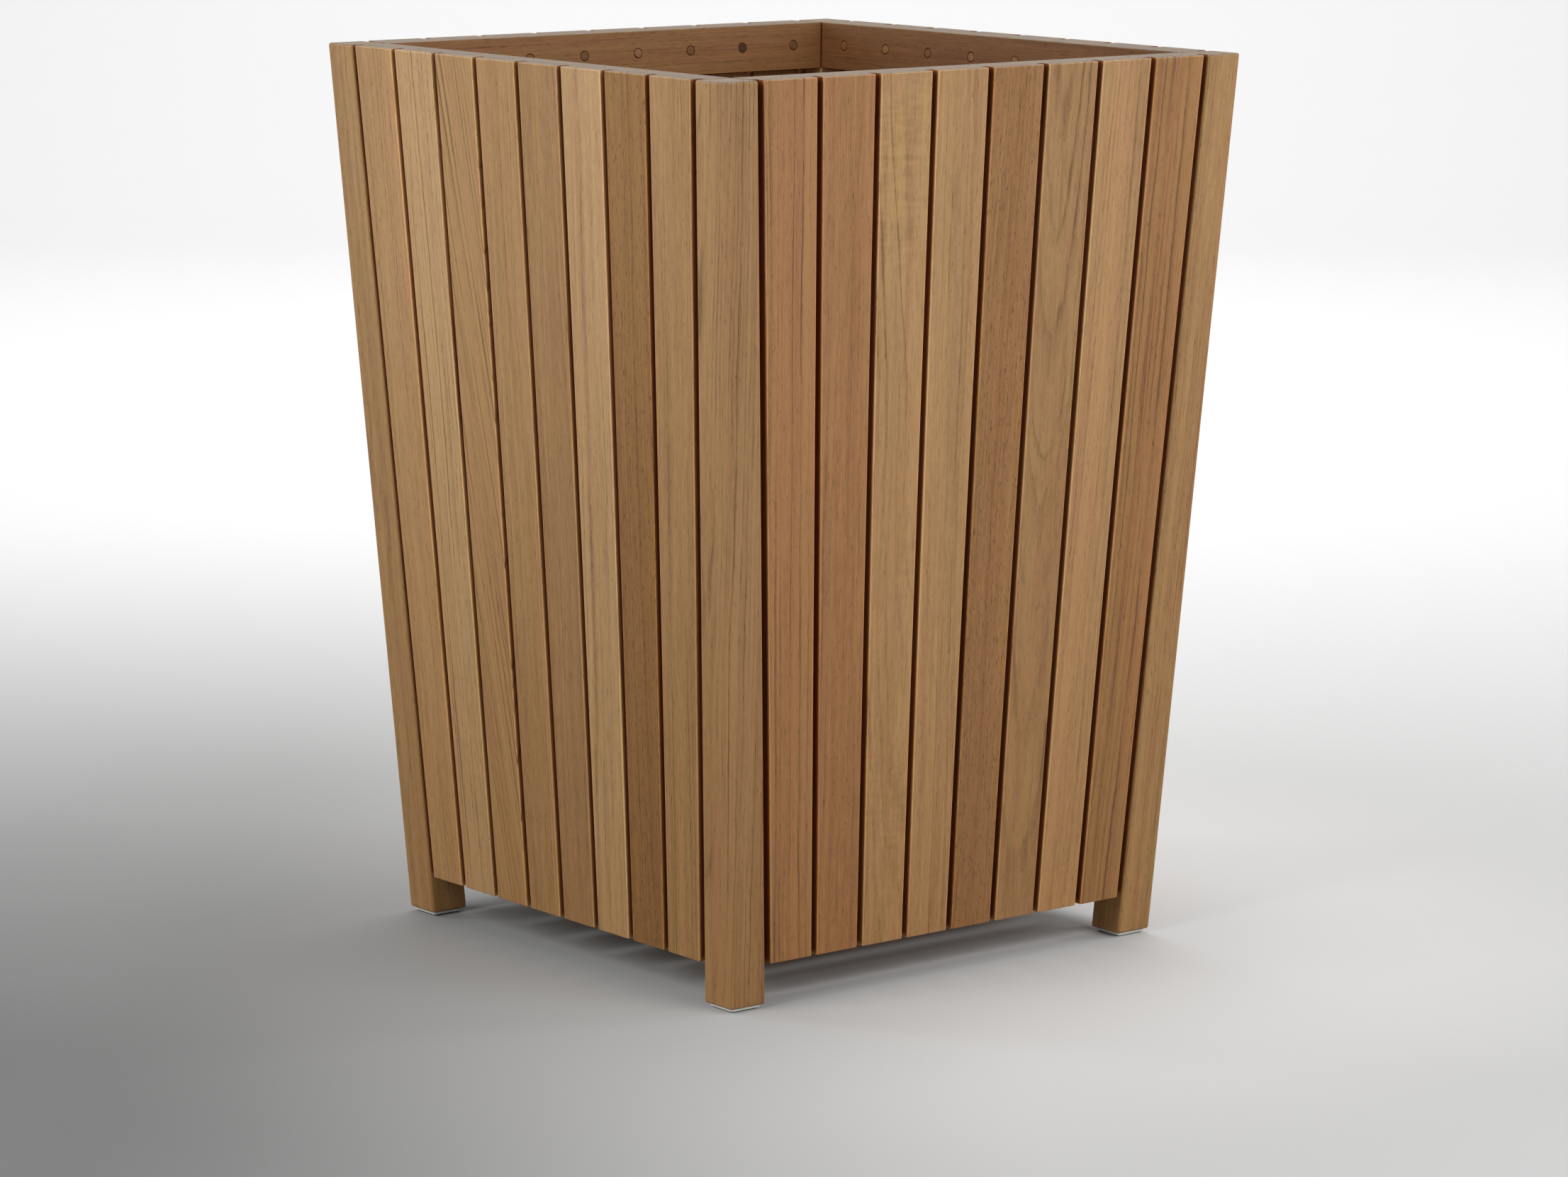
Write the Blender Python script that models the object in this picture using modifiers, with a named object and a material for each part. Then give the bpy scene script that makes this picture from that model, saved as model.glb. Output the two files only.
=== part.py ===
"""Tapered teak planter box: four leaning corner posts, top and bottom rails tenoned into them,
eight slats on each side screwed to the rails from inside, a slatted floor on two bearers, and four glides.

Metres, +Z up. The origin is the middle of the footprint, on the ground under the glides.
The front is the side at -Y. Each side is modelled as the front and turned into place about +Z.
"""

import bmesh
import bpy
import math
from mathutils import Matrix, Vector

# Outer shape
RIM_WIDTH = 0.610           # across the outer faces, at the rim
FOOT_WIDTH = 0.508          # across the outer faces, at the ends of the posts
WOOD_HEIGHT = 0.838         # from the ends of the posts to the rim
GLIDE_THICKNESS = 0.004

# Sections of the boards
POST_SIZE = 0.0395          # a square post, as deep as a slat and a rail together
SLAT_THICKNESS = 0.012
SLATS_PER_SIDE = 8
SLAT_GAP = 0.0065
SLAT_CLEARANCE = 0.037      # from the ends of the posts up to the ends of the slats
RAIL_HEIGHT = 0.046
RAIL_SETBACK = 0.008        # from the ends of the slats up to the bottom rail

# Joinery
FIT = 0.0003                # gap between faces that touch
SHOULDER_GAP = 0.0007       # gap between the shoulders of a rail and its posts
TENON_LENGTH = 0.014
TENON_THICKNESS = 0.010
TENON_OFFSET = 0.0024       # from the outer face of a rail to its tenon
TENON_SHOULDER = 0.008      # above and below a tenon
SCREW_DROP = 0.0218         # from the upper edge of a rail down to its row of screws
PLUG_RADIUS = 0.00475
PLUG_DEPTH = 0.009
SHANK_HOLE_RADIUS = 0.0023
HOLE_SIDES = 12

# Floor
BEARER_SIZE = 0.020
BEARER_RISE = 0.006         # from the lower edge of a bottom rail up to the bearers
BEARER_END_CLEARANCE = 0.004
FLOOR_BOARDS = 6
FLOOR_BOARD_WIDTH = 0.062
FLOOR_BOARD_THICKNESS = 0.012
FLOOR_END_CLEARANCE = 0.002

# Glides
GLIDE_INSET = 0.003         # from the faces of a post to the edge of its glide
GLIDE_CORNER = 0.003
NAIL_RADIUS = 0.0022
NAIL_LENGTH = 0.014

# Eased edges
POST_EASE = 0.002
BOARD_EASE = 0.001
SHARP_ANGLE = math.radians(35)   # edges that turn further are eased and stay crisp

# Finishes: colour and roughness
FINISHES = {
    "teak": ((0.36, 0.22, 0.13), 0.60),
    "teak_rails": ((0.30, 0.17, 0.09), 0.60),
    "teak_floor": ((0.30, 0.18, 0.10), 0.65),
    "grey_plastic": ((0.46, 0.45, 0.43), 0.50),
}

SIDES = ("front", "right", "back", "left")
CORNERS = ("front_left", "front_right", "back_right", "back_left")

FOOT = GLIDE_THICKNESS
RIM = FOOT + WOOD_HEIGHT
SLAT_END = FOOT + SLAT_CLEARANCE
BOTTOM_RAIL = SLAT_END + RAIL_SETBACK
LEAN = (RIM_WIDTH - FOOT_WIDTH) / 2 / WOOD_HEIGHT
OVERCUT = 0.002             # how far a cutter reaches past the face that it cuts


# ---------- the shape that every board follows ----------

def outer(z):
    """Distance from the middle of the box to an outer face, at height z."""
    return FOOT_WIDTH / 2 + LEAN * (z - FOOT)


def inner(z):
    """Distance from the middle of the box to the inner faces of the posts and rails, at height z."""
    return outer(z) - POST_SIZE


def slat_width(z):
    return (2 * inner(z) - (SLATS_PER_SIDE + 1) * SLAT_GAP) / SLATS_PER_SIDE


# ---------- scene and collections ----------

def clear_scene():
    for obj in list(bpy.data.objects):
        bpy.data.objects.remove(obj, do_unlink=True)


def new_collection(name):
    collection = bpy.data.collections.new(name)
    bpy.context.scene.collection.children.link(collection)
    return collection


def material(name, colour, roughness):
    made = bpy.data.materials.new(name)
    made.use_nodes = True
    shader = made.node_tree.nodes["Principled BSDF"]
    shader.inputs["Base Color"].default_value = (*colour, 1)
    shader.inputs["Roughness"].default_value = roughness
    shader.inputs["Metallic"].default_value = 0
    return made


# ---------- meshes ----------

def prism(name, z_range, x_range, y_range):
    """A cube primitive drawn out to the box between two heights.
    x_range and y_range give the low and high side at a height, so the sides may lean and taper."""
    shape = bmesh.new()
    bmesh.ops.create_cube(shape, size=2)
    for vertex in shape.verts:
        z = z_range[vertex.co.z > 0]
        x = x_range(z)[vertex.co.x > 0]
        y = y_range(z)[vertex.co.y > 0]
        vertex.co = (x, y, z)
    return mesh_from(shape, name)


def cylinder(name, radius, start, end):
    """A round bar from start to end."""
    along = end - start
    turn = Vector((0, 0, 1)).rotation_difference(along).to_matrix().to_4x4()
    shape = bmesh.new()
    bmesh.ops.create_cone(
        shape,
        cap_ends=True,
        segments=HOLE_SIDES,
        radius1=radius,
        radius2=radius,
        depth=along.length,
        matrix=Matrix.Translation((start + end) / 2) @ turn,
    )
    return mesh_from(shape, name)


def mesh_from(shape, name):
    shape.normal_update()
    bmesh.ops.recalc_face_normals(shape, faces=shape.faces)
    mesh = bpy.data.meshes.new(name)
    shape.to_mesh(mesh)
    shape.free()
    return mesh


def diagonal(mesh):
    """The mesh mirrored about the upright plane x = y, which swaps the two sides of the front left corner."""
    shape = bmesh.new()
    shape.from_mesh(mesh)
    for vertex in shape.verts:
        vertex.co = (vertex.co.y, vertex.co.x, vertex.co.z)
    return mesh_from(shape, mesh.name + "_diagonal")


def eased(obj, width):
    bevel = obj.modifiers.new("ease", "BEVEL")
    bevel.width = width
    bevel.segments = 1
    bevel.limit_method = "ANGLE"
    bevel.angle_limit = SHARP_ANGLE


def shaped(name, mesh, ease, added=(), cut=()):
    """The mesh with eased edges, joined with the meshes in added and cut by those in cut."""
    body = bpy.data.objects.new(name, mesh)
    CUTTERS.objects.link(body)
    if ease:
        eased(body, ease)
    for operation, shapes in (("UNION", added), ("DIFFERENCE", cut)):
        for shape in shapes:
            other = bpy.data.objects.new(shape.name, shape)
            CUTTERS.objects.link(other)
            other.hide_render = True
            other.display_type = "WIRE"
            boolean = body.modifiers.new(shape.name, "BOOLEAN")
            boolean.operation = operation
            boolean.object = other
    bpy.context.view_layer.update()
    graph = bpy.context.evaluated_depsgraph_get()
    finished = bpy.data.meshes.new_from_object(body.evaluated_get(graph))
    finished.name = name
    finished.shade_smooth()
    finished.set_sharp_from_angle(angle=SHARP_ANGLE)
    bpy.data.objects.remove(body)
    return finished


# ---------- the boards, as they stand on the front ----------

def rail_x(z):
    return -inner(z) + SHOULDER_GAP, inner(z) - SHOULDER_GAP


def rail_y(z):
    return -outer(z) + SLAT_THICKNESS + FIT, -inner(z)


def tenon(name, z_low, z_high, spare):
    """The tenon on the left end of a rail, or with spare the cutter for its mortise."""
    def across(z):
        return -inner(z) - TENON_LENGTH - spare, -inner(z) + OVERCUT

    def deep(z):
        face = rail_y(z)[0] + TENON_OFFSET
        return face - spare, face + TENON_THICKNESS + spare

    heights = (z_low + TENON_SHOULDER - spare, z_high - TENON_SHOULDER + spare)
    return prism(name, heights, across, deep)


def mirrored(mesh):
    """The mesh on the other end of the front."""
    shape = bmesh.new()
    shape.from_mesh(mesh)
    for vertex in shape.verts:
        vertex.co.x = -vertex.co.x
    return mesh_from(shape, mesh.name + "_mirrored")


def screw_holes(name, z_low, z_high):
    """The counterbores for the plugs, and the shank holes behind them, one of each for every slat."""
    z = z_high - SCREW_DROP
    inward = Vector((0, 1, -LEAN)).normalized()
    through = POST_SIZE - SLAT_THICKNESS + OVERCUT
    pitch = slat_width(z) + SLAT_GAP
    found = []
    for i in range(SLATS_PER_SIDE):
        x = (i - (SLATS_PER_SIDE - 1) / 2) * pitch
        face = Vector((x, -inner(z), z))
        for kind, radius, depth in (("plug", PLUG_RADIUS, PLUG_DEPTH), ("shank", SHANK_HOLE_RADIUS, through)):
            bottom = face - inward * depth
            mouth = face + inward * OVERCUT
            found.append(cylinder(f"{name}_{kind}_hole_{i + 1}", radius, bottom, mouth))
    return found


def rail(name, z_low):
    z_high = z_low + RAIL_HEIGHT
    bar = prism(name, (z_low, z_high), rail_x, rail_y)
    left_tenon = tenon(name + "_tenon", z_low, z_high, 0)
    return shaped(
        name,
        bar,
        BOARD_EASE,
        added=(left_tenon, mirrored(left_tenon)),
        cut=screw_holes(name, z_low, z_high),
    )


def glide_centre():
    middle = -FOOT_WIDTH / 2 + POST_SIZE / 2
    return Vector((middle, middle, 0))


def post():
    """The front left post, with a mortise for each of its four rails and a hole for the nail of its glide."""
    def across(z):
        return -outer(z), -inner(z)

    body = prism("post", (FOOT, RIM), across, across)
    cutters = []
    for name, z_low in (("bottom_mortise", BOTTOM_RAIL), ("top_mortise", RIM - RAIL_HEIGHT)):
        mortise = tenon(name, z_low, z_low + RAIL_HEIGHT, FIT)
        cutters += [mortise, diagonal(mortise)]
    foot = glide_centre()
    nail_end = foot + Vector((0, 0, FOOT + NAIL_LENGTH + FIT))
    cutters.append(cylinder("nail_hole", NAIL_RADIUS + FIT, foot, nail_end))
    return shaped("post", body, POST_EASE, cut=cutters)


def glide():
    """The glide of the front left post, with its nail."""
    half = POST_SIZE / 2 - GLIDE_INSET
    centre = glide_centre()
    top = FOOT - FIT

    def across(z):
        return centre.x - half, centre.x + half

    plate = prism("glide_plate", (0, top), across, across)
    shape = bmesh.new()
    shape.from_mesh(plate)
    upright = [e for e in shape.edges if abs(e.verts[0].co.z - e.verts[1].co.z) > top / 2]
    bmesh.ops.bevel(shape, geom=upright, offset=GLIDE_CORNER, segments=3, profile=0.5, affect="EDGES")
    plate = mesh_from(shape, "glide_plate")
    nail_start = centre + Vector((0, 0, top / 2))
    nail_end = centre + Vector((0, 0, FOOT + NAIL_LENGTH))
    nail = cylinder("nail", NAIL_RADIUS, nail_start, nail_end)
    return shaped("glide", plate, 0, added=(nail,))


def slat(number):
    """A slat of the front, counted from the left. It tapers, so that the gaps keep their width."""
    def across(z):
        left = -inner(z) + SLAT_GAP + (number - 1) * (slat_width(z) + SLAT_GAP)
        return left, left + slat_width(z)

    def deep(z):
        return -outer(z), -outer(z) + SLAT_THICKNESS

    return shaped(f"slat_{number}", prism(f"slat_{number}", (SLAT_END, RIM), across, deep), BOARD_EASE)


def bearer():
    """The floor bearer on the inner face of the front bottom rail. The right and left sides use it."""
    low = BOTTOM_RAIL + BEARER_RISE

    def across(z):
        half = inner(low) - BEARER_END_CLEARANCE
        return -half, half

    def deep(z):
        return -inner(z) + FIT, -inner(low) + BEARER_SIZE

    return shaped("bearer", prism("bearer", (low, low + BEARER_SIZE), across, deep), BOARD_EASE)


def floor_board():
    """A floor board centred on the middle of the box, along X."""
    low = BOTTOM_RAIL + BEARER_RISE + BEARER_SIZE + FIT

    def across(z):
        half = inner(low) - FLOOR_END_CLEARANCE
        return -half, half

    def deep(z):
        return -FLOOR_BOARD_WIDTH / 2, FLOOR_BOARD_WIDTH / 2

    heights = (low, low + FLOOR_BOARD_THICKNESS)
    return shaped("floor_board", prism("floor_board", heights, across, deep), BOARD_EASE)


# ---------- assembly ----------

def place(name, mesh, finish, parent=None, location=(0, 0, 0)):
    """A node of the planter. Nodes may share one mesh."""
    if not mesh.materials:
        mesh.materials.append(finish)
    obj = bpy.data.objects.new(name, mesh)
    PLANTER.objects.link(obj)
    obj.location = location
    obj.parent = parent
    return obj


def turned_side(name, quarter_turns):
    """An empty that carries one side from the front to its place."""
    empty = bpy.data.objects.new(f"side_{name}", None)
    PLANTER.objects.link(empty)
    empty.rotation_euler.z = quarter_turns * math.pi / 2
    return empty


def build_sides(finish):
    slats = [slat(number) for number in range(1, SLATS_PER_SIDE + 1)]
    top_rail = rail("top_rail", RIM - RAIL_HEIGHT)
    bottom_rail = rail("bottom_rail", BOTTOM_RAIL)
    post_mesh, glide_mesh, bearer_mesh = post(), glide(), bearer()
    for turns, (side, corner) in enumerate(zip(SIDES, CORNERS)):
        carrier = turned_side(side, turns)
        place(f"post_{corner}", post_mesh, finish["teak"], carrier)
        place(f"glide_{corner}", glide_mesh, finish["grey_plastic"], carrier)
        place(f"top_rail_{side}", top_rail, finish["teak_rails"], carrier)
        place(f"bottom_rail_{side}", bottom_rail, finish["teak_rails"], carrier)
        for number, mesh in enumerate(slats, 1):
            place(f"slat_{side}_{number}", mesh, finish["teak"], carrier)
        if side in ("right", "left"):
            place(f"floor_bearer_{side}", bearer_mesh, finish["teak_floor"], carrier)


def build_floor(finish):
    board = floor_board()
    width = 2 * inner(BOTTOM_RAIL + BEARER_RISE + BEARER_SIZE)
    gap = (width - FLOOR_BOARDS * FLOOR_BOARD_WIDTH) / (FLOOR_BOARDS + 1)
    for i in range(FLOOR_BOARDS):
        y = (i - (FLOOR_BOARDS - 1) / 2) * (FLOOR_BOARD_WIDTH + gap)
        place(f"floor_board_{i + 1}", board, finish["teak_floor"], location=(0, y, 0))


clear_scene()
PLANTER = new_collection("planter_box")
CUTTERS = new_collection("cutters")
finishes = {name: material(name, colour, roughness) for name, (colour, roughness) in FINISHES.items()}
build_sides(finishes)
build_floor(finishes)
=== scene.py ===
"""Looks of the tapered teak planter box.

Every board is built again over its CAD solid, with rounded edges and with the place of each point in the tree
that the board was sawn from. One teak material reads that place, so rings, fibres and pores run along each
board, wrap over its edges and show as end grain at its ends. Metres, +Z up, in the row frame.
"""

import math
import random

import bmesh
import bpy
from mathutils import Matrix, Vector


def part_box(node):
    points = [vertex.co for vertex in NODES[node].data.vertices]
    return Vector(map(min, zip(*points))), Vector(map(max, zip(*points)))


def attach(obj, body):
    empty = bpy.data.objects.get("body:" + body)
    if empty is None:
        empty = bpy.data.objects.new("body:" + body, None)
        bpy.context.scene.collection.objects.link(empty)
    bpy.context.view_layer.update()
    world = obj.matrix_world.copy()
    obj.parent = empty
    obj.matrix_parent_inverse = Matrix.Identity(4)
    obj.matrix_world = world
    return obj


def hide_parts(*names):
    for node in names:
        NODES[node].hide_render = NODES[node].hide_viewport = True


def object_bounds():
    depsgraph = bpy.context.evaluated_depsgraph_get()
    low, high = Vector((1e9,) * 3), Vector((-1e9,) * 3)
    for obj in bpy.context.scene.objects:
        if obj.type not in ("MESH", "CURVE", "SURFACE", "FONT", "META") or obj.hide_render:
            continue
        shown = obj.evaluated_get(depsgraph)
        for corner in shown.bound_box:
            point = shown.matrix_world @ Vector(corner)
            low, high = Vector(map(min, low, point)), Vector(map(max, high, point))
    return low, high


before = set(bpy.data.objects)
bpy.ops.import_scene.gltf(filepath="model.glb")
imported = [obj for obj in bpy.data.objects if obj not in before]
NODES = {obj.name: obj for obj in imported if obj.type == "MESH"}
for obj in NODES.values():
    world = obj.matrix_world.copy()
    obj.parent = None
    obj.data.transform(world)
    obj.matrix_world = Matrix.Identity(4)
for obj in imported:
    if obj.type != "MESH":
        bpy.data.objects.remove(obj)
cad_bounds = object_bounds()

BODY = "root"
SIDES = ("front", "right", "back", "left")
CORNERS = ("front_left", "front_right", "back_right", "back_left")
SLATS_PER_SIDE = 8
FLOOR_BOARDS = 6
UP = Vector((0, 0, 1))
WHITE = (1, 1, 1, 1)
COOL = (0.98, 1.0, 1.0, 1)

# Heights
RIM_HEIGHT = cad_bounds[1].z
RAIL_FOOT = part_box("top_rail_front")[0].z
SLAT_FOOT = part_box("slat_front_1")[0].z

# Edges and faces
POST_ROUND = 0.0024
SLAT_ROUND = 0.0011
RAIL_ROUND = 0.0010
FLOOR_ROUND = 0.0015
END_ZONE = 0.003            # how near to an end a CAD point counts as on that end
RIM_ZONE = 0.0015           # how far down the rim's edges reach
FACES_THAT_WAY = 0.6        # the least cosine between a face's normal and the way that it faces

# Plugs
PLUG_RADIUS = 0.0043
PLUG_HOLE_RADIUS = 0.0052
PLUG_DROP = 0.0218          # from the upper edge of a rail to the middle of its plugs
PLUG_LENGTH = 0.008         # as deep as its hole
PLUG_FOOT_GAP = 0.0005      # between the plug and the bottom of its hole
PLUG_PROUD = 0.00005
PLUG_CHAMFER = 0.0005
PLUG_SIDES = 40
CHAMFER_ZONE = 1e-5         # how near to the far end an edge counts as on its rim
PLUG_TURN = (0.3, 2.8)      # limits of the random angle of a plug's grain from the level, in radians
HOLE_OVERRUN = 0.002        # how far the cutter of a hole stands out of the rail
HOLE_WALL = 0.1             # the greatest cosine between a plug's length and the normal of its hole's wall
RAIL_SUNK = 0.013           # how deep a rail lies below the outside of its wall

# Glides
GLIDE_CORNER = 0.003
GLIDE_EDGE = 0.0004
GLIDE_ARC = 6               # steps around a corner
GLIDE_PAD_HEIGHT = 0.0015   # the pad under the plate, which touches the ground
GLIDE_PAD_INSET = 0.0026
GLIDE_GAP = 0.0002          # between a plate and its post
GLIDE_DARK = "c6c6c0"
GLIDE_LIGHT = "d8d8d2"
GLIDE_MOTTLE = (160, 160, 160)          # features in a metre
GLIDE_SCUFFS = (900, 500, 3000)
GLIDE_ROUGH = (0.3, 0.7, 0.38, 0.6)     # limits of the scuffs' noise, and the roughness at each
GLIDE_RELIEF = (0.3, 0.0002)            # strength and depth

# Floor and wall: turned to face the camera, so +X is to its right and +Y is away from it
STAGE_BEND = 2.0            # radius of the curve between floor and wall
STAGE_BEND_STEPS = 12
STAGE_HEIGHT = 8.0
STAGE_HALF_WIDTH = 26.0
STAGE_FRONT = -26.0
STAGE_BACK = 8.0
# painted shade on the floor to the left of the planter
FLOOR_PAINTED_SHADE = "636363"
FLOOR_LIGHT = "bababa"
FLOOR_FAR = "e6e6e6"
PAINTED_LIGHT_UNDER_PLANTER = (1.3, 1.3, 1.3)      # painted light: what its colour is multiplied by under the planter
PAINTED_LIGHT_REACH = (0.40, 0.95)   # distances from the middle between which the painted light fades
PALE_ACROSS = (-0.6, 0.3)   # places along X between which it goes over from the painted shade on the left to light
PALE_BEHIND = (-0.6, 2.6)   # places along Y between which it goes over into the far colour
PALE_AROUND = (1.8, 4.0)    # distances from the middle between which it does so too
CLOUD_SCALE = (0.8, 0.8, 0.8)
CLOUD_SWING = 0.15
FLOOR_ROUGHNESS = 0.75

# Light: place, aim, size, power in watts and colour of each lamp
WORLD_LIGHT = 0.345
LAMPS = {
    "right": ((0.45, -2.2, 1.30), (0.0, -0.3, 0.55), (1.4, 1.4), 25, WHITE),
    "left": ((-1.90, -0.20, 1.20), (-0.3, 0.0, 0.55), (1.2, 1.2), 22, COOL),
    "far_left": ((-1.6, 1.9, 1.2), (-0.3, 0.0, 0.60), (0.5, 1.0), 11, COOL),
    "far_right": ((2.2, -1.3, 1.2), (0.0, -0.3, 0.60), (0.5, 1.0), 11, WHITE),
    "overhead": ((0.1, 0.1, 2.6), (0, 0, 0.8), (0.8, 0.8), 14, WHITE),
    "backdrop": ((1.87, 2.34, 5.0), (4.37, 5.46, 0.5), (6.0, 3.0), 320, WHITE),
}

# Camera
CAMERA_PLACE = (-3.011, -3.784, 1.1805)
CAMERA_HEADING = 38.58      # degrees from +Y towards +X
CAMERA_DOWN = 10.015
CAMERA_ROLL = 0.2
CAMERA_LENS = 117.9
SENSOR_WIDTH = 36


# ---------- shared helpers ----------

def srgb(code):
    """A display colour such as a58262, as linear red, green, blue and 1."""
    channels = [int(code[i:i + 2], 16) / 255 for i in (0, 2, 4)]
    linear = [c / 12.92 if c <= 0.04045 else ((c + 0.055) / 1.055) ** 2.4 for c in channels]
    return (*linear, 1)


def linked(name, data):
    obj = bpy.data.objects.new(name, data)
    bpy.context.scene.collection.objects.link(obj)
    return obj


def mesh_of(shape, name):
    shape.normal_update()
    bmesh.ops.recalc_face_normals(shape, faces=shape.faces)
    mesh = bpy.data.meshes.new(name)
    shape.to_mesh(mesh)
    shape.free()
    return mesh


def store(mesh, name, kind, domain, values):
    """Stores an attribute: a number, vector or colour for each point or each face."""
    field = {"FLOAT": "value", "FLOAT_VECTOR": "vector", "FLOAT_COLOR": "color"}[kind]
    layer = mesh.attributes.new(name, kind, domain)
    flat = values if kind == "FLOAT" else [number for value in values for number in value]
    layer.data.foreach_set(field, flat)


class Graph:
    """A material's node tree, with short ways to add and join nodes. An input is a socket or a number."""

    def __init__(self, name):
        self.material = bpy.data.materials.new(name)
        self.material.use_nodes = True
        self.tree = self.material.node_tree
        self.shader = self.tree.nodes["Principled BSDF"]

    def node(self, kind, **settings):
        made = self.tree.nodes.new("ShaderNode" + kind)
        for key, value in settings.items():
            setattr(made, key, value)
        return made

    def feed(self, socket, value):
        if isinstance(value, bpy.types.NodeSocket):
            self.tree.links.new(value, socket)
        else:
            socket.default_value = value

    def attribute(self, name, output="Fac"):
        return self.node("Attribute", attribute_name=name).outputs[output]

    def math(self, operation, *values, clamp=False):
        made = self.node("Math", operation=operation, use_clamp=clamp)
        for socket, value in zip(made.inputs, values):
            self.feed(socket, value)
        return made.outputs[0]

    def add(self, *values):
        total = values[0]
        for value in values[1:]:
            total = self.math("ADD", total, value)
        return total

    def times(self, first, second):
        return self.math("MULTIPLY", first, second)

    def swing(self, value, amount, middle=0.5):
        """How far a value is from its middle, times an amount."""
        return self.times(self.math("SUBTRACT", value, middle), amount)

    def vector(self, operation, *values, output=0):
        made = self.node("VectorMath", operation=operation)
        for socket, value in zip(made.inputs, values):
            self.feed(socket, value)
        return made.outputs[output]

    def split(self, vector):
        made = self.node("SeparateXYZ")
        self.feed(made.inputs[0], vector)
        return made.outputs

    def join(self, x, y, z):
        made = self.node("CombineXYZ")
        for socket, value in zip(made.inputs, (x, y, z)):
            self.feed(socket, value)
        return made.outputs[0]

    def noise(self, vector, scale, detail=2.0, roughness=0.5, output="Fac"):
        """Smooth noise about 0.5. scale is its features in a metre along x, y and z."""
        made = self.node("TexNoise")
        made.inputs["Scale"].default_value = 1
        made.inputs["Detail"].default_value = detail
        made.inputs["Roughness"].default_value = roughness
        self.feed(made.inputs["Vector"], self.vector("MULTIPLY", vector, scale))
        return made.outputs[output]

    def noise_along(self, value, scale):
        made = self.node("TexNoise", noise_dimensions="1D")
        made.inputs["Scale"].default_value = 1
        self.feed(made.inputs["W"], self.times(value, scale))
        return made.outputs["Fac"]

    def remap(self, value, low, high, to_low=0.0, to_high=1.0):
        made = self.node("MapRange", interpolation_type="SMOOTHSTEP")
        for socket, given in zip(made.inputs, (value, low, high, to_low, to_high)):
            self.feed(socket, given)
        return made.outputs[0]

    def ramp(self, value, *stops):
        """A grey ramp through (position, brightness) stops."""
        made = self.node("ValToRGB")
        self.feed(made.inputs[0], value)
        elements = made.color_ramp.elements
        while len(elements) < len(stops):
            elements.new(0.5)
        for element, (position, grey) in zip(elements, stops):
            element.position = position
            element.color = (grey, grey, grey, 1)
        return made.outputs[0]

    def mix(self, amount, first, second):
        made = self.node("Mix", data_type="RGBA")
        for name, value in (("Factor_Float", amount), ("A_Color", first), ("B_Color", second)):
            socket = next(s for s in made.inputs if s.identifier == name)
            self.feed(socket, value)
        return next(s for s in made.outputs if s.identifier == "Result_Color")

    def tinted(self, colour, multiplier, amount=1.0):
        """The colour, moved by an amount towards itself times a multiplier."""
        return self.mix(amount, colour, self.vector("MULTIPLY", colour, multiplier))

    def bump(self, height, strength, distance):
        made = self.node("Bump")
        made.inputs["Strength"].default_value = strength
        made.inputs["Distance"].default_value = distance
        self.feed(made.inputs["Height"], height)
        self.feed(self.shader.inputs["Normal"], made.outputs[0])


# ---------- teak ----------

# Noise patterns: features in a metre across and along the grain, detail and roughness
PATTERNS = {
    "sway": (14, 2.4, 1, 0.5),
    "waver": (90, 18, 1, 0.5),
    "fading": (60, 5, 2, 0.5),
    "broad": (34, 0.9, 2, 0.5),
    "bands": (150, 1.8, 3, 0.6),
    "lines": (620, 8, 3, 0.6),
    "fibres": (1500, 55, 2, 0.6),
    "mottle": (240, 60, 3, 0.6),
    "pores": (1250, 130, 1, 0.5),
    "flecks": (420, 9, 2, 0.5),
    "patches": (12, 4, 1, 0.5),
    "ripple": (45, 170, 1, 0.5),
    "blush": (90, 1.6, 2, 0.5),
    "straw": (110, 1.3, 1, 0.5),
}

# Where a pattern's noise sets in, where it is full, and what it becomes there if that isn't 0 and 1
LIMITS = {
    "year": (0.36, 0.66, 0.25, 1.25),
    "fading": (0.38, 0.62, 0.35, 1.25),
    "flecks": (0.69, 0.78),
    "patches": (0.46, 0.62),
    "blush": (0.42, 0.62),
    "straw": (0.44, 0.62),
}

# The trunk's bends and the fibres' waver
MIDDLE = (0.5, 0.5, 0.5)    # of a colour noise
SWAY_REACH = (0.014, 0.014, 0)
WAVER_REACH = (0.0024, 0.0024, 0)

# Growth rings
LATE_WOOD = ((0.0, 1), (0.12, 0.55), (0.45, 0.0), (0.88, 0.1), (1.0, 1))  # place in a ring, darkness
RING_DRIFT = 2.6            # by how many rings their spacing drifts
DRIFT_SCALE = 70            # features in a metre of the trunk's radius
YEAR_SCALE = 170

# Pores
PORE_LIMIT = 0.635          # noise above it is a pore
PORE_EDGE = 0.08            # over which a pore sets in
PORE_CROWDING = 0.05        # how far dark wood lowers the limit

# What the tone of a board is multiplied by
DARK_GRAIN = (0.50, 0.41, 0.32)
LIGHT_GRAIN = (1.22, 1.25, 1.24)
BLUSH = (1.00, 0.91, 0.93)
STRAW = (1.00, 1.03, 0.92)
PAINTED_SHADE_AT_FOOT = (0.825, 0.725, 0.55, 1)     # painted shade near the ground
PAINTED_SHADE_AT_RIM = (1.00, 0.96, 0.89, 1)
PAINTED_SHADE_HEIGHTS = (-0.15, 0.75)            # between which the painted shade at the foot goes over into that at the rim
# wear and painted highlight on rounded edges
WEAR_AND_HIGHLIGHT_TINT = (1.66, 1.68, 1.68)
# painted shade on the sides of the gaps
GAP_PAINTED_SHADE = (0.50, 0.23, 0.09)
BLUSH_AMOUNT = 0.7
STRAW_AMOUNT = 0.6

# End grain
END_DARK = "524534"
END_LIGHT = "8a7a68"
END_COVER = 0.85            # how much of the board's own colour it hides

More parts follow.
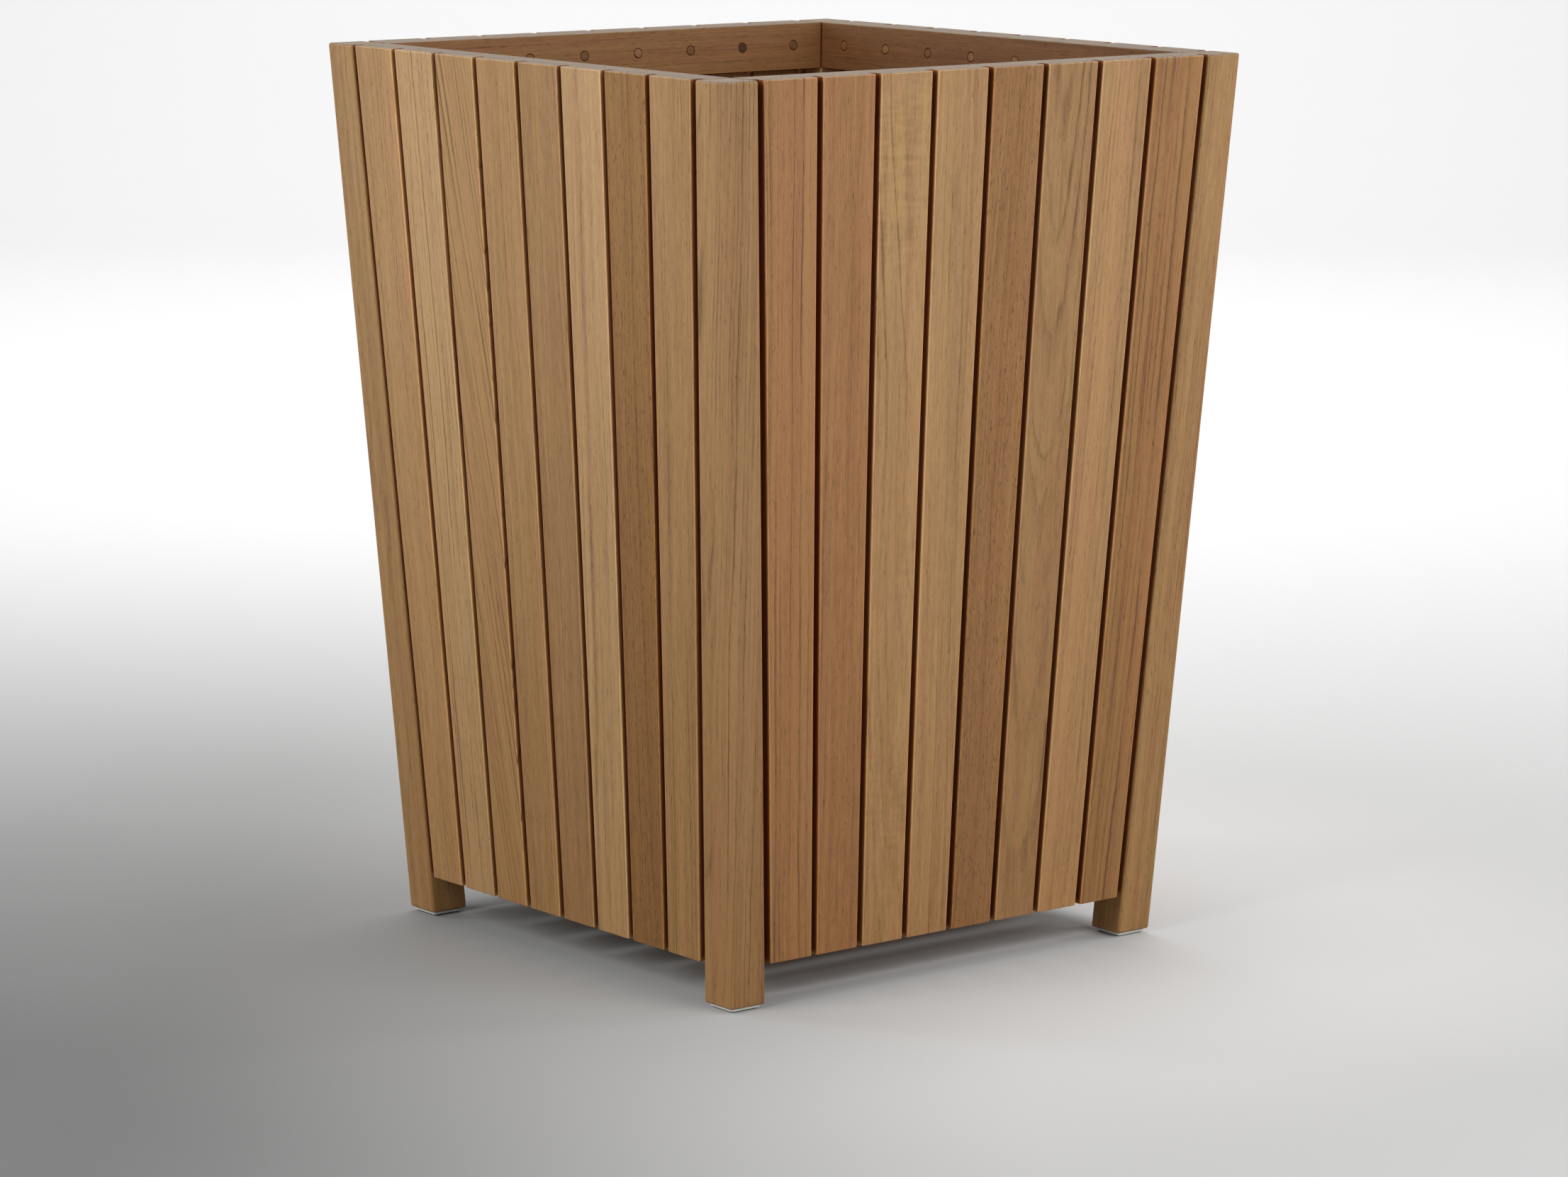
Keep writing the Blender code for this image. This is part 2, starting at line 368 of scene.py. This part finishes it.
# The painted shade in the gaps, by depth below the wall's outside and by height
PAINTED_SHADE_DEPTHS = (0.0006, 0.0040)         # where it sets in
SLAT_BACK_DEPTHS = (0.013, 0.018)       # where it ends, except at the top rails
RAIL_BLEND = 0.001                      # how far above and below the rails' lower edge that changes
PAINTED_SHADE_RISE = 0.006                      # how far it takes to set in above the slats' lower ends

# How strongly each pattern moves the tone
SWINGS = {"broad": 0.60, "bands": 0.75, "lines": 0.74, "fibres": 0.62, "mottle": 0.42}
FLECKS_SHARE = 0.9          # of the pores' strength
MIDDLE_TONE = 0.72
MIDDLE_LATE_WOOD = 0.3

# Surface
SHINE = 0.30
ROUGHNESS = (0.25, 0.75, 0.62, 0.50)    # limits of the fibres' noise, and the roughness at each
PORE_ROUGHNESS = 0.15                   # what a pore adds
PAINTED_SHADE_ROUGHNESS = 0.40
FIBRE_RELIEF = 0.5
PORE_RELIEF = -0.8
RELIEF = (0.5, 0.0002)                  # strength and depth


def teak_material():
    """Teak, read from the attributes that mark_wood and mark_gaps store."""
    g = Graph("teak")
    tree = g.attribute("tree", "Vector")
    tint = g.attribute("tint", "Color")
    ring_contrast, pore_contrast, curl = g.split(g.attribute("look", "Vector"))
    ring_width = g.attribute("rings")
    height = g.attribute("height")

    def pattern(name, place=tree, output="Fac"):
        across, along, detail, roughness = PATTERNS[name]
        return g.noise(place, (across, across, along), detail, roughness, output)

    def limited(name, place=tree):
        return g.remap(pattern(name, place), *LIMITS[name])

    # The trunk isn't straight or round, and its fibres waver
    sway = g.vector("SUBTRACT", pattern("sway", output="Color"), MIDDLE)
    waver = g.vector("SUBTRACT", pattern("waver", output="Color"), MIDDLE)
    place = g.vector("ADD", tree, g.vector("MULTIPLY", sway, SWAY_REACH))
    place = g.vector("ADD", place, g.vector("MULTIPLY", waver, WAVER_REACH))

    # Growth rings: dark late wood that fades into the next ring, stronger in some years than in others
    x, y, _ = g.split(place)
    radius = g.vector("LENGTH", g.join(x, y, 0), output="Value")
    drift = g.times(g.noise_along(radius, DRIFT_SCALE), RING_DRIFT)
    ring = g.add(g.math("DIVIDE", radius, ring_width), drift)
    late_wood = g.ramp(g.math("FRACT", ring), *LATE_WOOD)
    year = g.remap(g.noise_along(radius, YEAR_SCALE), *LIMITS["year"])
    late_wood = g.times(g.times(late_wood, year), limited("fading"))

    # Bands, lines and fibres along the grain
    streaks = {name: pattern(name, place) for name in SWINGS}
    fibres = streaks["fibres"]

    # Pores are short dark dashes, which crowd into the late wood; flecks are long and rare
    pore_limit = g.math("SUBTRACT", PORE_LIMIT, g.times(late_wood, PORE_CROWDING))
    pores = g.remap(pattern("pores", place), pore_limit, g.math("ADD", pore_limit, PORE_EDGE))
    flecks = limited("flecks", place)
    ripple = g.times(g.swing(pattern("ripple"), curl), limited("patches"))

    tone = g.add(
        g.swing(late_wood, g.times(ring_contrast, -1), middle=MIDDLE_LATE_WOOD),
        *(g.swing(streaks[name], amount) for name, amount in SWINGS.items()),
        g.times(pores, g.times(pore_contrast, -1)),
        g.times(flecks, g.times(pore_contrast, -FLECKS_SHARE)),
        ripple,
    )
    tone = g.math("ADD", tone, MIDDLE_TONE, clamp=True)

    colour = g.mix(tone, g.vector("MULTIPLY", tint, DARK_GRAIN), g.vector("MULTIPLY", tint, LIGHT_GRAIN))
    colour = g.tinted(colour, BLUSH, g.times(limited("blush", place), BLUSH_AMOUNT))
    colour = g.tinted(colour, STRAW, g.times(limited("straw", place), STRAW_AMOUNT))

    # Painted shade: darker and warmer near the ground, lighter towards the rim
    colour = g.tinted(colour, g.mix(g.remap(height, *PAINTED_SHADE_HEIGHTS), PAINTED_SHADE_AT_FOOT, PAINTED_SHADE_AT_RIM))

    # Ends are greyer, rounded edges are paler with wear and painted highlight, and the sides of the gaps get
    # painted shade, darker with depth
    end_grain = g.mix(tone, srgb(END_DARK), srgb(END_LIGHT))
    colour = g.mix(g.times(g.attribute("end"), END_COVER), colour, end_grain)
    colour = g.tinted(colour, WEAR_AND_HIGHLIGHT_TINT, g.attribute("edge"))
    sunk = g.attribute("sunk")
    painted_shade = g.times(g.attribute("gap"), g.remap(sunk, *PAINTED_SHADE_DEPTHS))
    in_slats = g.remap(sunk, *SLAT_BACK_DEPTHS, 1, 0)
    at_rails = g.remap(height, RAIL_FOOT - RAIL_BLEND, RAIL_FOOT + RAIL_BLEND)
    painted_shade = g.times(painted_shade, g.math("MAXIMUM", in_slats, at_rails))
    painted_shade = g.times(painted_shade, g.remap(height, SLAT_FOOT, SLAT_FOOT + PAINTED_SHADE_RISE))
    colour = g.tinted(colour, GAP_PAINTED_SHADE, painted_shade)

    g.feed(g.shader.inputs["Base Color"], colour)
    rough = g.add(
        g.remap(fibres, *ROUGHNESS),
        g.times(pores, PORE_ROUGHNESS),
        g.times(painted_shade, PAINTED_SHADE_ROUGHNESS),
    )
    g.feed(g.shader.inputs["Roughness"], rough)
    g.shader.inputs["Specular IOR Level"].default_value = SHINE
    g.bump(g.add(g.times(fibres, FIBRE_RELIEF), g.times(pores, PORE_RELIEF)), *RELIEF)
    return g.material


# Tones of the boards
TONES = {
    "pale": "a88864",
    "honey": "a3805a",
    "tan": "9b7953",
    "plain": "95734f",
    "orange": "986f49",
    "russet": "926b44",
    "brown": "876239",
    # rail tones: the rails' darker, redder wood, darkened further with painted shade for the inside of the
    # box
    "rail": "865f3b",
    "dark_rail": "754f2f",
    "black_plug": "432715",
    "dark_plug": "644529",
    "light_plug": "835f40",
}

# Sawing of a board: how its face lies to the rings. Each gives the pith's distance and direction from the
# board's middle (90 is square behind the face, 0 is to its side), the pith's lean across and into the board,
# the ring width, and how strongly rings, pores and curl show.
CUTS = {
    "straight": (0.160, 20, 0.004, 0.000, 0.0034, 0.30, 0.40, 0),
    "rift": (0.110, 50, 0.008, 0.004, 0.0044, 0.36, 0.36, 0),
    "cathedral": (0.055, 86, 0.012, 0.050, 0.0050, 0.50, 0.34, 0),
    "diagonal": (0.160, 25, -0.150, 0.010, 0.0040, 0.85, 0.36, 0),
    "flame": (0.060, 12, 0.034, 0.006, 0.0042, 0.58, 0.36, 0),
    "lined": (0.140, 30, 0.006, 0.000, 0.0052, 0.75, 0.46, 0),
    "pored": (0.120, 40, 0.006, 0.004, 0.0036, 0.32, 0.95, 0),
    "curly": (0.080, 70, 0.010, 0.030, 0.0052, 0.40, 0.34, 0.6),
    "plug": (0.030, 20, 0.000, 0.000, 0.0024, 1.30, 0.60, 0),
}

# How much boards of one cut differ: the limits of each random draw
PITH_TURN = (-6, 6)             # degrees
PITH_DISTANCE = (0.85, 1.2)     # as a share
TREE_START = (0, 40)            # metres along the trunk
LEAN_MIDDLE = (0.1, 0.7)        # how far along the board the pith's lean crosses it
LIGHTNESS = (0.985, 1.015)
RING_WIDTH = (0.85, 1.15)       # as a share

# First seed of each kind of board
FLOOR_SEED = 700
BEARER_SEED = 760
POST_SEED = 900
RAIL_SEED = 1000

# Wear with painted highlight on rounded edges, and the grey of end grain
FLAT_FACE = 0.985               # the least cosine between an axis and the normal of a flat face
LEVEL_FACE = 0.3                # the least upright part of the normal of a level edge's faces
LEVEL_EDGE_WEAR_AND_HIGHLIGHT = 0.15
POST_WEAR_AND_HIGHLIGHT = 0.1
END_FACE = 0.9                  # the least cosine between a board's length and the normal of its ends
RIM_EDGE_GREY = 1.3


def edge_wear_and_highlight(normal):
    """How much wear and painted highlight pale a face: none on the flat faces, most on rounded upright edges.
    """
    if max(abs(part) for part in normal) > FLAT_FACE:
        return 0.0
    return LEVEL_EDGE_WEAR_AND_HIGHLIGHT if abs(normal.z) > LEVEL_FACE else 1.0


def end_grey(face, along):
    """How grey a face is: fully on the ends of a board and on top of the rim, less on the rim's edges."""
    if abs(face.normal.dot(along)) > END_FACE:
        return 1.0
    if face.center.z < RIM_HEIGHT - RIM_ZONE:
        return 0.0
    return min(1.0, RIM_EDGE_GREY * max(0.0, face.normal.z))


def mark_wood(mesh, local, cut, tone, seed, along, wear_and_highlight=1.0):
    """Stores the attributes that the teak reads, apart from those of the gaps.

    local gives a point's place in its board: across its face, into it, and along it. along is the direction
    of the board's length, which tells its ends from its faces.
    """
    distance, direction, lean_across, lean_deep, rings, *look = CUTS[cut]
    chance = random.Random(seed)
    direction = math.radians(direction + chance.uniform(*PITH_TURN))
    distance *= chance.uniform(*PITH_DISTANCE)
    flip = chance.choice((-1, 1))
    pith_across = distance * math.cos(direction) * flip
    pith_deep = distance * math.sin(direction)
    start = chance.uniform(*TREE_START)
    middle = chance.uniform(*LEAN_MIDDLE)

    def in_tree(point):
        across, deep, length = local(point)
        run = length - middle
        return (
            across - pith_across + lean_across * run * flip,
            deep - pith_deep + lean_deep * run,
            length + start,
        )

    light = chance.uniform(*LIGHTNESS)
    tint = [light * channel for channel in srgb(TONES[tone])[:3]] + [1]
    ring_width = rings * chance.uniform(*RING_WIDTH)
    count = len(mesh.vertices)
    store(mesh, "tree", "FLOAT_VECTOR", "POINT", [in_tree(vertex.co) for vertex in mesh.vertices])
    store(mesh, "height", "FLOAT", "POINT", [vertex.co.z for vertex in mesh.vertices])
    store(mesh, "tint", "FLOAT_COLOR", "POINT", [tint] * count)
    store(mesh, "look", "FLOAT_VECTOR", "POINT", [look] * count)
    store(mesh, "rings", "FLOAT", "POINT", [ring_width] * count)
    store(mesh, "end", "FLOAT", "FACE", [end_grey(face, along) for face in mesh.polygons])
    store(mesh, "edge", "FLOAT", "FACE", [wear_and_highlight * edge_wear_and_highlight(face.normal) for face in mesh.polygons])


def mark_gaps(mesh, sunk, in_gap):
    """Stores how deep each point is below the outside of the wall, and which faces stand in a gap, for the
    teak's painted shade in the gaps.
    """
    store(mesh, "sunk", "FLOAT", "POINT", [sunk(vertex.co) for vertex in mesh.vertices])
    store(mesh, "gap", "FLOAT", "FACE", [float(in_gap(face)) for face in mesh.polygons])


# ---------- boards over their CAD solids ----------

def ends_of(node):
    """The low and the high end of a CAD board: each its height, and its lowest and highest x and y there."""
    points = [vertex.co for vertex in NODES[node].data.vertices]
    found = []
    for z, sign in ((min(p.z for p in points), 1), (max(p.z for p in points), -1)):
        there = [p for p in points if (p.z - z) * sign < END_ZONE]
        xs = [p.x for p in there]
        ys = [p.y for p in there]
        found.append((z, (min(xs), max(xs)), (min(ys), max(ys))))
    return found


def middle_at(ends, z):
    """The middle of a board at height z."""
    (z0, x0, y0), (z1, x1, y1) = ends
    share = (z - z0) / (z1 - z0)
    x = (sum(x0) + (sum(x1) - sum(x0)) * share) / 2
    y = (sum(y0) + (sum(y1) - sum(y0)) * share) / 2
    return Vector((x, y, z))


def inward(side):
    """The level direction from a side to the middle of the box."""
    return Matrix.Rotation(SIDES.index(side) * math.pi / 2, 3, "Z") @ Vector((0, 1, 0))


def along_side(side):
    """The level direction along a side, to the right as seen from outside."""
    return Matrix.Rotation(SIDES.index(side) * math.pi / 2, 3, "Z") @ Vector((1, 0, 0))


def rounded_board(name, ends, edge_radius):
    shape = bmesh.new()
    bmesh.ops.create_cube(shape, size=2)
    for vertex in shape.verts:
        z, xs, ys = ends[vertex.co.z > 0]
        vertex.co = (xs[vertex.co.x > 0], ys[vertex.co.y > 0], z)
    bmesh.ops.bevel(
        shape,
        geom=shape.edges[:],
        offset=edge_radius,
        segments=3,
        profile=0.5,
        affect="EDGES",
        clamp_overlap=True,
    )
    return mesh_of(shape, name)


def finished(name, mesh, node, material):
    """Makes a piece of this mesh. It stands for its CAD node, if it has one."""
    mesh.materials.append(material)
    mesh.shade_smooth()
    piece = linked(name, mesh)
    normals = piece.modifiers.new("even_normals", "WEIGHTED_NORMAL")
    normals.keep_sharp = True
    if node:
        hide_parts(node)
    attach(piece, BODY)


def upright_place(ends, side):
    """Tells a point's place in an upright board: across its face, into the wall, and up."""
    across, deep = along_side(side), inward(side)

    def local(point):
        offset = point - middle_at(ends, point.z)
        return offset.dot(across), offset.dot(deep), point.z

    return local


def level_place(ends, side):
    """Tells a point's place in a level board: across its face (upwards), into the wall, and along it."""
    across, deep = along_side(side), inward(side)
    middle = (ends[0][0] + ends[1][0]) / 2

    def local(point):
        offset = point - middle_at(ends, point.z)
        return point.z - middle, offset.dot(deep), point.dot(across)

    return local


# Tone and sawing of each slat, from the left as seen from outside
SLATS = {
    "front": (
        ("orange", "lined"),
        ("orange", "straight"),
        ("honey", "curly"),
        ("honey", "rift"),
        ("russet", "pored"),
        ("plain", "cathedral"),
        ("honey", "rift"),
        ("russet", "lined"),
    ),
    "left": (
        ("honey", "straight"),
        ("pale", "lined"),
        ("tan", "diagonal"),
        ("tan", "straight"),
        ("plain", "straight"),
        ("pale", "rift"),
        ("brown", "pored"),
        ("tan", "straight"),
    ),
    "right": (
        ("honey", "straight"),
        ("tan", "rift"),
        ("orange", "straight"),
        ("plain", "cathedral"),
        ("russet", "lined"),
        ("tan", "straight"),
        ("orange", "pored"),
        ("pale", "straight"),
    ),
    "back": (
        ("tan", "rift"),
        ("honey", "cathedral"),
        ("plain", "straight"),
        ("orange", "straight"),
        ("pale", "lined"),
        ("russet", "rift"),
        ("honey", "curly"),
        ("brown", "straight"),
    ),
}
POSTS = {
    "front_left": ("plain", "flame"),
    "front_right": ("tan", "straight"),
    "back_right": ("tan", "rift"),
    "back_left": ("tan", "straight"),
}


def build_slats(teak):
    for row, side in enumerate(SIDES):
        across = along_side(side)
        for number, (tone, cut) in enumerate(SLATS[side], 1):
            node = f"slat_{side}_{number}"
            ends = ends_of(node)
            local = upright_place(ends, side)
            mesh = rounded_board(node, ends, SLAT_ROUND)
            outside = min(local(vertex.co)[1] for vertex in mesh.vertices)
            mark_wood(mesh, local, cut, tone, 100 * row + number, UP)

            # The sides that face the gaps get painted shade, darker with depth
            def sunk(point):
                return local(point)[1] - outside

            mark_gaps(mesh, sunk, lambda face: abs(face.normal.dot(across)) > FACES_THAT_WAY)
            finished("board_" + node, mesh, node, teak)


def build_posts(teak):
    for number, corner in enumerate(CORNERS):
        node = "post_" + corner
        tone, cut = POSTS[corner]
        ends = ends_of(node)
        local = upright_place(ends, "front")
        mesh = rounded_board(node, ends, POST_ROUND)
        mark_wood(mesh, local, cut, tone, POST_SEED + number, UP, wear_and_highlight=POST_WEAR_AND_HIGHLIGHT)
        centre = middle_at(ends, ends[0][0])
        inner_x, inner_y = -math.copysign(1, centre.x), -math.copysign(1, centre.y)
        half = (ends[0][1][1] - ends[0][1][0]) / 2

        # Faces that look into the box or into the gaps beside the post get painted shade
        def sunk(point):
            across, deep, _ = local(point)
            return max(0, min(across * inner_x, deep * inner_y) + half)

        def looks_in(face):
            return max(face.normal.x * inner_x, face.normal.y * inner_y) > FACES_THAT_WAY

        mark_gaps(mesh, sunk, looks_in)
        finished("board_" + node, mesh, node, teak)


def plug_places(node, side):
    """Where each plug meets the inner face of a rail, and the direction that it faces."""
    ends = ends_of(node)
    (low, *low_box), (high, *high_box) = ends
    into, along = inward(side), along_side(side)

    def innermost(box):
        return max(Vector((x, y, 0)).dot(into) for x in box[0] for y in box[1])

    lean = (innermost(high_box) - innermost(low_box)) / (high - low)
    z = high - PLUG_DROP
    depth = innermost(high_box) - lean * PLUG_DROP
    slats = [ends_of(f"slat_{side}_{number}") for number in range(1, SLATS_PER_SIDE + 1)]
    places = [along * middle_at(slat, z).dot(along) + into * depth + UP * z for slat in slats]
    return places, (into - lean * UP).normalized()


def round_bar(name, radius, start, end, chamfer=0.0):
    """A bar from start to end, with a chamfer around its far end."""
    along = end - start
    turn = UP.rotation_difference(along).to_matrix().to_4x4()
    shape = bmesh.new()
    bmesh.ops.create_cone(
        shape,
        cap_ends=True,
        segments=PLUG_SIDES,
        radius1=radius,
        radius2=radius,
        depth=along.length,
        matrix=Matrix.Translation((start + end) / 2) @ turn,
    )
    if chamfer:
        direction = along.normalized()
        rim = [e for e in shape.edges if all((v.co - end).dot(direction) > -CHAMFER_ZONE for v in e.verts)]
        bmesh.ops.bevel(shape, geom=rim, offset=chamfer, segments=2, profile=0.5, affect="EDGES")
    return mesh_of(shape, name)


def merged(name, meshes):
    """The meshes as one, with the attributes that they share."""
    shape = bmesh.new()
    for mesh in meshes:
        shape.from_mesh(mesh)
        bpy.data.meshes.remove(mesh)
    joined = bpy.data.meshes.new(name)
    shape.to_mesh(joined)
    shape.free()
    return joined


def cut_away(mesh, cutter_mesh):
    """The mesh less the cutter, as a new mesh."""
    body = linked("cut_body", mesh)
    cutter = linked("cut_tool", cutter_mesh)
    boolean = body.modifiers.new("cut", "BOOLEAN")
    boolean.object = cutter
    bpy.context.view_layer.update()
    graph = bpy.context.evaluated_depsgraph_get()
    result = bpy.data.meshes.new_from_object(body.evaluated_get(graph))
    bpy.data.objects.remove(body)
    bpy.data.objects.remove(cutter)
    return result


# Tones of the plugs along each rail, and of the rails
PLUG_TONES = {
    "front": "dark_plug rail dark_plug light_plug dark_rail black_plug dark_plug rail",
    "right": "dark_plug rail dark_plug light_plug rail dark_rail rail dark_rail",
    "back": "dark_plug black_plug dark_plug light_plug dark_plug dark_rail rail dark_plug",
    "left": "rail dark_plug light_plug dark_plug dark_plug dark_rail black_plug rail",
}
# The right rail takes the darker tone as painted shade
RAIL_TONES = {"front": "rail", "right": "dark_rail", "back": "rail", "left": "rail"}


def build_plugs(name, places, facing, tones, seed, teak):
    """A row of face-grain plugs, each turned at random."""
    chance = random.Random(seed)
    across = facing.cross(UP).normalized()
    upwards = across.cross(facing).normalized()
    made = []
    for number, (place, tone) in enumerate(zip(places, tones)):
        start = place - facing * (PLUG_LENGTH - PLUG_FOOT_GAP)
        mesh = round_bar("plug", PLUG_RADIUS, start, place + facing * PLUG_PROUD, PLUG_CHAMFER)
        turn = chance.uniform(*PLUG_TURN)
        grain = across * math.cos(turn) + upwards * math.sin(turn)
        beside = grain.cross(facing)

        def local(point):
            offset = point - place
            return offset.dot(beside), offset.dot(facing), offset.dot(grain)

        mark_wood(mesh, local, "plug", tone, seed + number, grain)
        # A plug's sides get the painted shade of the ring gap around it
        mark_gaps(mesh, lambda point: RAIL_SUNK, lambda face: face.normal.dot(facing) < END_FACE)
        made.append(mesh)
    finished(name, merged(name, made), None, teak)


def build_rails(teak):
    for level, kind in enumerate(("top_rail", "bottom_rail")):
        for row, side in enumerate(SIDES):
            node = f"{kind}_{side}"
            seed = RAIL_SEED + 100 * level + 10 * row
            ends = ends_of(node)
            along = along_side(side)
            places, facing = plug_places(node, side)
            bottom, top = facing * -PLUG_LENGTH, facing * HOLE_OVERRUN
            holes = [round_bar("hole", PLUG_HOLE_RADIUS, place + bottom, place + top) for place in places]
            mesh = cut_away(rounded_board(node, ends, RAIL_ROUND), merged("holes", holes))
            mesh.name = node
            mark_wood(mesh, level_place(ends, side), "straight", RAIL_TONES[side], seed, along)

            def hidden(face):
                """Whether a face is the back or an end of the rail, or lies in a plug's hole: such faces get
                painted shade.
                """
                near = min((face.center - place).length for place in places)
                in_hole = near < PLUG_LENGTH and abs(face.normal.dot(facing)) < HOLE_WALL
                is_back = face.normal.dot(facing) < -FACES_THAT_WAY
                return in_hole or is_back or abs(face.normal.dot(along)) > FACES_THAT_WAY

            mark_gaps(mesh, lambda point: RAIL_SUNK, hidden)
            finished("board_" + node, mesh, node, teak)
            build_plugs(f"plugs_{node}", places, facing, PLUG_TONES[side].split(), seed, teak)


def build_floor_boards(teak):
    for number in range(1, FLOOR_BOARDS + 1):
        node = f"floor_board_{number}"
        ends = ends_of(node)
        middle = middle_at(ends, (ends[0][0] + ends[1][0]) / 2)
        mesh = rounded_board(node, ends, FLOOR_ROUND)

        def local(point):
            return point.y - middle.y, point.z - middle.z, point.x

        mark_wood(mesh, local, "rift", "plain", FLOOR_SEED + number, along_side("front"))
        finished("board_" + node, mesh, node, teak)
    for number, side in enumerate(("left", "right")):
        node = f"floor_bearer_{side}"
        ends = ends_of(node)
        mesh = rounded_board(node, ends, FLOOR_ROUND)
        mark_wood(mesh, level_place(ends, side), "straight", "plain", BEARER_SEED + number, along_side(side))
        finished("board_" + node, mesh, node, teak)


# ---------- glides ----------

def glide_material():
    """Pale grey moulded plastic, a little mottled and scuffed."""
    g = Graph("glide_plastic")
    place = g.node("TexCoord").outputs["Object"]
    mottle = g.noise(place, GLIDE_MOTTLE, detail=3)
    scuffs = g.noise(place, GLIDE_SCUFFS, detail=2)
    g.feed(g.shader.inputs["Base Color"], g.mix(mottle, srgb(GLIDE_DARK), srgb(GLIDE_LIGHT)))
    g.feed(g.shader.inputs["Roughness"], g.remap(scuffs, *GLIDE_ROUGH))
    g.bump(scuffs, *GLIDE_RELIEF)
    return g.material


def rounded_square(centre, half, radius):
    """The points of a square with rounded corners, counterclockwise."""
    points = []
    for quarter, (side_x, side_y) in enumerate(((1, 1), (-1, 1), (-1, -1), (1, -1))):
        for step in range(GLIDE_ARC + 1):
            angle = (quarter + step / GLIDE_ARC) * math.pi / 2
            x = centre.x + side_x * (half - radius) + radius * math.cos(angle)
            y = centre.y + side_y * (half - radius) + radius * math.sin(angle)
            points.append((x, y))
    return points


def build_glides(plastic):
    """Plates with eased edges, each on a smaller pad."""
    for corner in CORNERS:
        node = "glide_" + corner
        low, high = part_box(node)
        centre = (low + high) / 2
        half = (high.x - low.x) / 2
        top = ends_of("post_" + corner)[0][0] - GLIDE_GAP
        profile = (
            (0, GLIDE_PAD_INSET),
            (GLIDE_PAD_HEIGHT, GLIDE_PAD_INSET),
            (GLIDE_PAD_HEIGHT, GLIDE_EDGE),
            (GLIDE_PAD_HEIGHT + GLIDE_EDGE, 0),
            (top - GLIDE_EDGE, 0),
            (top, GLIDE_EDGE),
        )
        shape = bmesh.new()
        rings = []
        for z, inset in profile:
            outline = rounded_square(centre, half - inset, GLIDE_CORNER - inset)
            rings.append([shape.verts.new((x, y, low.z + z)) for x, y in outline])
        for below, above in zip(rings, rings[1:]):
            for i in range(len(below)):
                shape.faces.new((below[i - 1], below[i], above[i], above[i - 1]))
        shape.faces.new(rings[0])
        shape.faces.new(rings[-1])
        finished("pad_" + corner, mesh_of(shape, node), node, plastic)


# ---------- floor, light and camera ----------

def floor_material():
    """Pale: darker to the left of the planter with painted shade, lighter under it with painted light, and
    palest towards the wall and far away.
    """
    g = Graph("studio_floor")
    place = g.node("TexCoord").outputs["Object"]
    cloud = g.noise(place, CLOUD_SCALE, detail=3)
    x, y, _ = g.split(place)
    lightness = g.add(g.remap(x, *PALE_ACROSS), g.swing(cloud, CLOUD_SWING))
    near = g.mix(lightness, srgb(FLOOR_PAINTED_SHADE), srgb(FLOOR_LIGHT))
    distance = g.vector("LENGTH", place, output="Value")
    near = g.tinted(near, PAINTED_LIGHT_UNDER_PLANTER, g.remap(distance, *PAINTED_LIGHT_REACH, 1, 0))
    away = g.math("MAXIMUM", g.remap(y, *PALE_BEHIND), g.remap(distance, *PALE_AROUND))
    g.feed(g.shader.inputs["Base Color"], g.mix(away, near, srgb(FLOOR_FAR)))
    g.shader.inputs["Roughness"].default_value = FLOOR_ROUGHNESS
    return g.material


def build_stage():
    """A pale floor that curves up into a pale wall behind the planter."""
    profile = [(STAGE_FRONT, 0.0)]
    for step in range(STAGE_BEND_STEPS + 1):
        angle = math.pi / 2 * step / STAGE_BEND_STEPS
        y = STAGE_BACK - STAGE_BEND + STAGE_BEND * math.sin(angle)
        profile.append((y, STAGE_BEND - STAGE_BEND * math.cos(angle)))
    profile.append((STAGE_BACK, STAGE_HEIGHT))
    shape = bmesh.new()
    rows = [[shape.verts.new((x, y, z)) for x in (-STAGE_HALF_WIDTH, STAGE_HALF_WIDTH)] for y, z in profile]
    for (a, b), (c, d) in zip(rows, rows[1:]):
        shape.faces.new((a, b, d, c))
    mesh = mesh_of(shape, "stage")
    mesh.shade_smooth()
    mesh.materials.append(floor_material())
    stage = linked("studio_floor", mesh)
    stage.rotation_euler.z = -math.radians(CAMERA_HEADING)


def area_light(name, place, aim, size, power, colour):
    data = bpy.data.lights.new(name, "AREA")
    data.shape = "RECTANGLE"
    data.size, data.size_y = size
    data.energy = power
    data.color = colour[:3]
    light = linked(name, data)
    light.location = place
    light.rotation_euler = (Vector(aim) - Vector(place)).to_track_quat("-Z", "Y").to_euler()


def build_light():
    world = bpy.data.worlds.new("studio")
    world.use_nodes = True
    background = world.node_tree.nodes["Background"]
    background.inputs["Color"].default_value = WHITE
    background.inputs["Strength"].default_value = WORLD_LIGHT
    bpy.context.scene.world = world
    for name, lamp in LAMPS.items():
        area_light(name, *lamp)


def build_camera():
    data = bpy.data.cameras.new("camera")
    data.sensor_width = SENSOR_WIDTH
    data.lens = CAMERA_LENS
    camera = linked("camera", data)
    heading = Matrix.Rotation(-math.radians(CAMERA_HEADING), 4, "Z")
    tilt = Matrix.Rotation(math.radians(90 - CAMERA_DOWN), 4, "X")
    roll = Matrix.Rotation(math.radians(CAMERA_ROLL), 4, "Z")
    camera.matrix_world = Matrix.Translation(CAMERA_PLACE) @ heading @ tilt @ roll
    bpy.context.scene.camera = camera


bpy.context.scene.view_settings.view_transform = "Standard"
build_camera()
build_stage()
build_light()
wood = teak_material()
build_slats(wood)
build_posts(wood)
build_rails(wood)
build_floor_boards(wood)
build_glides(glide_material())
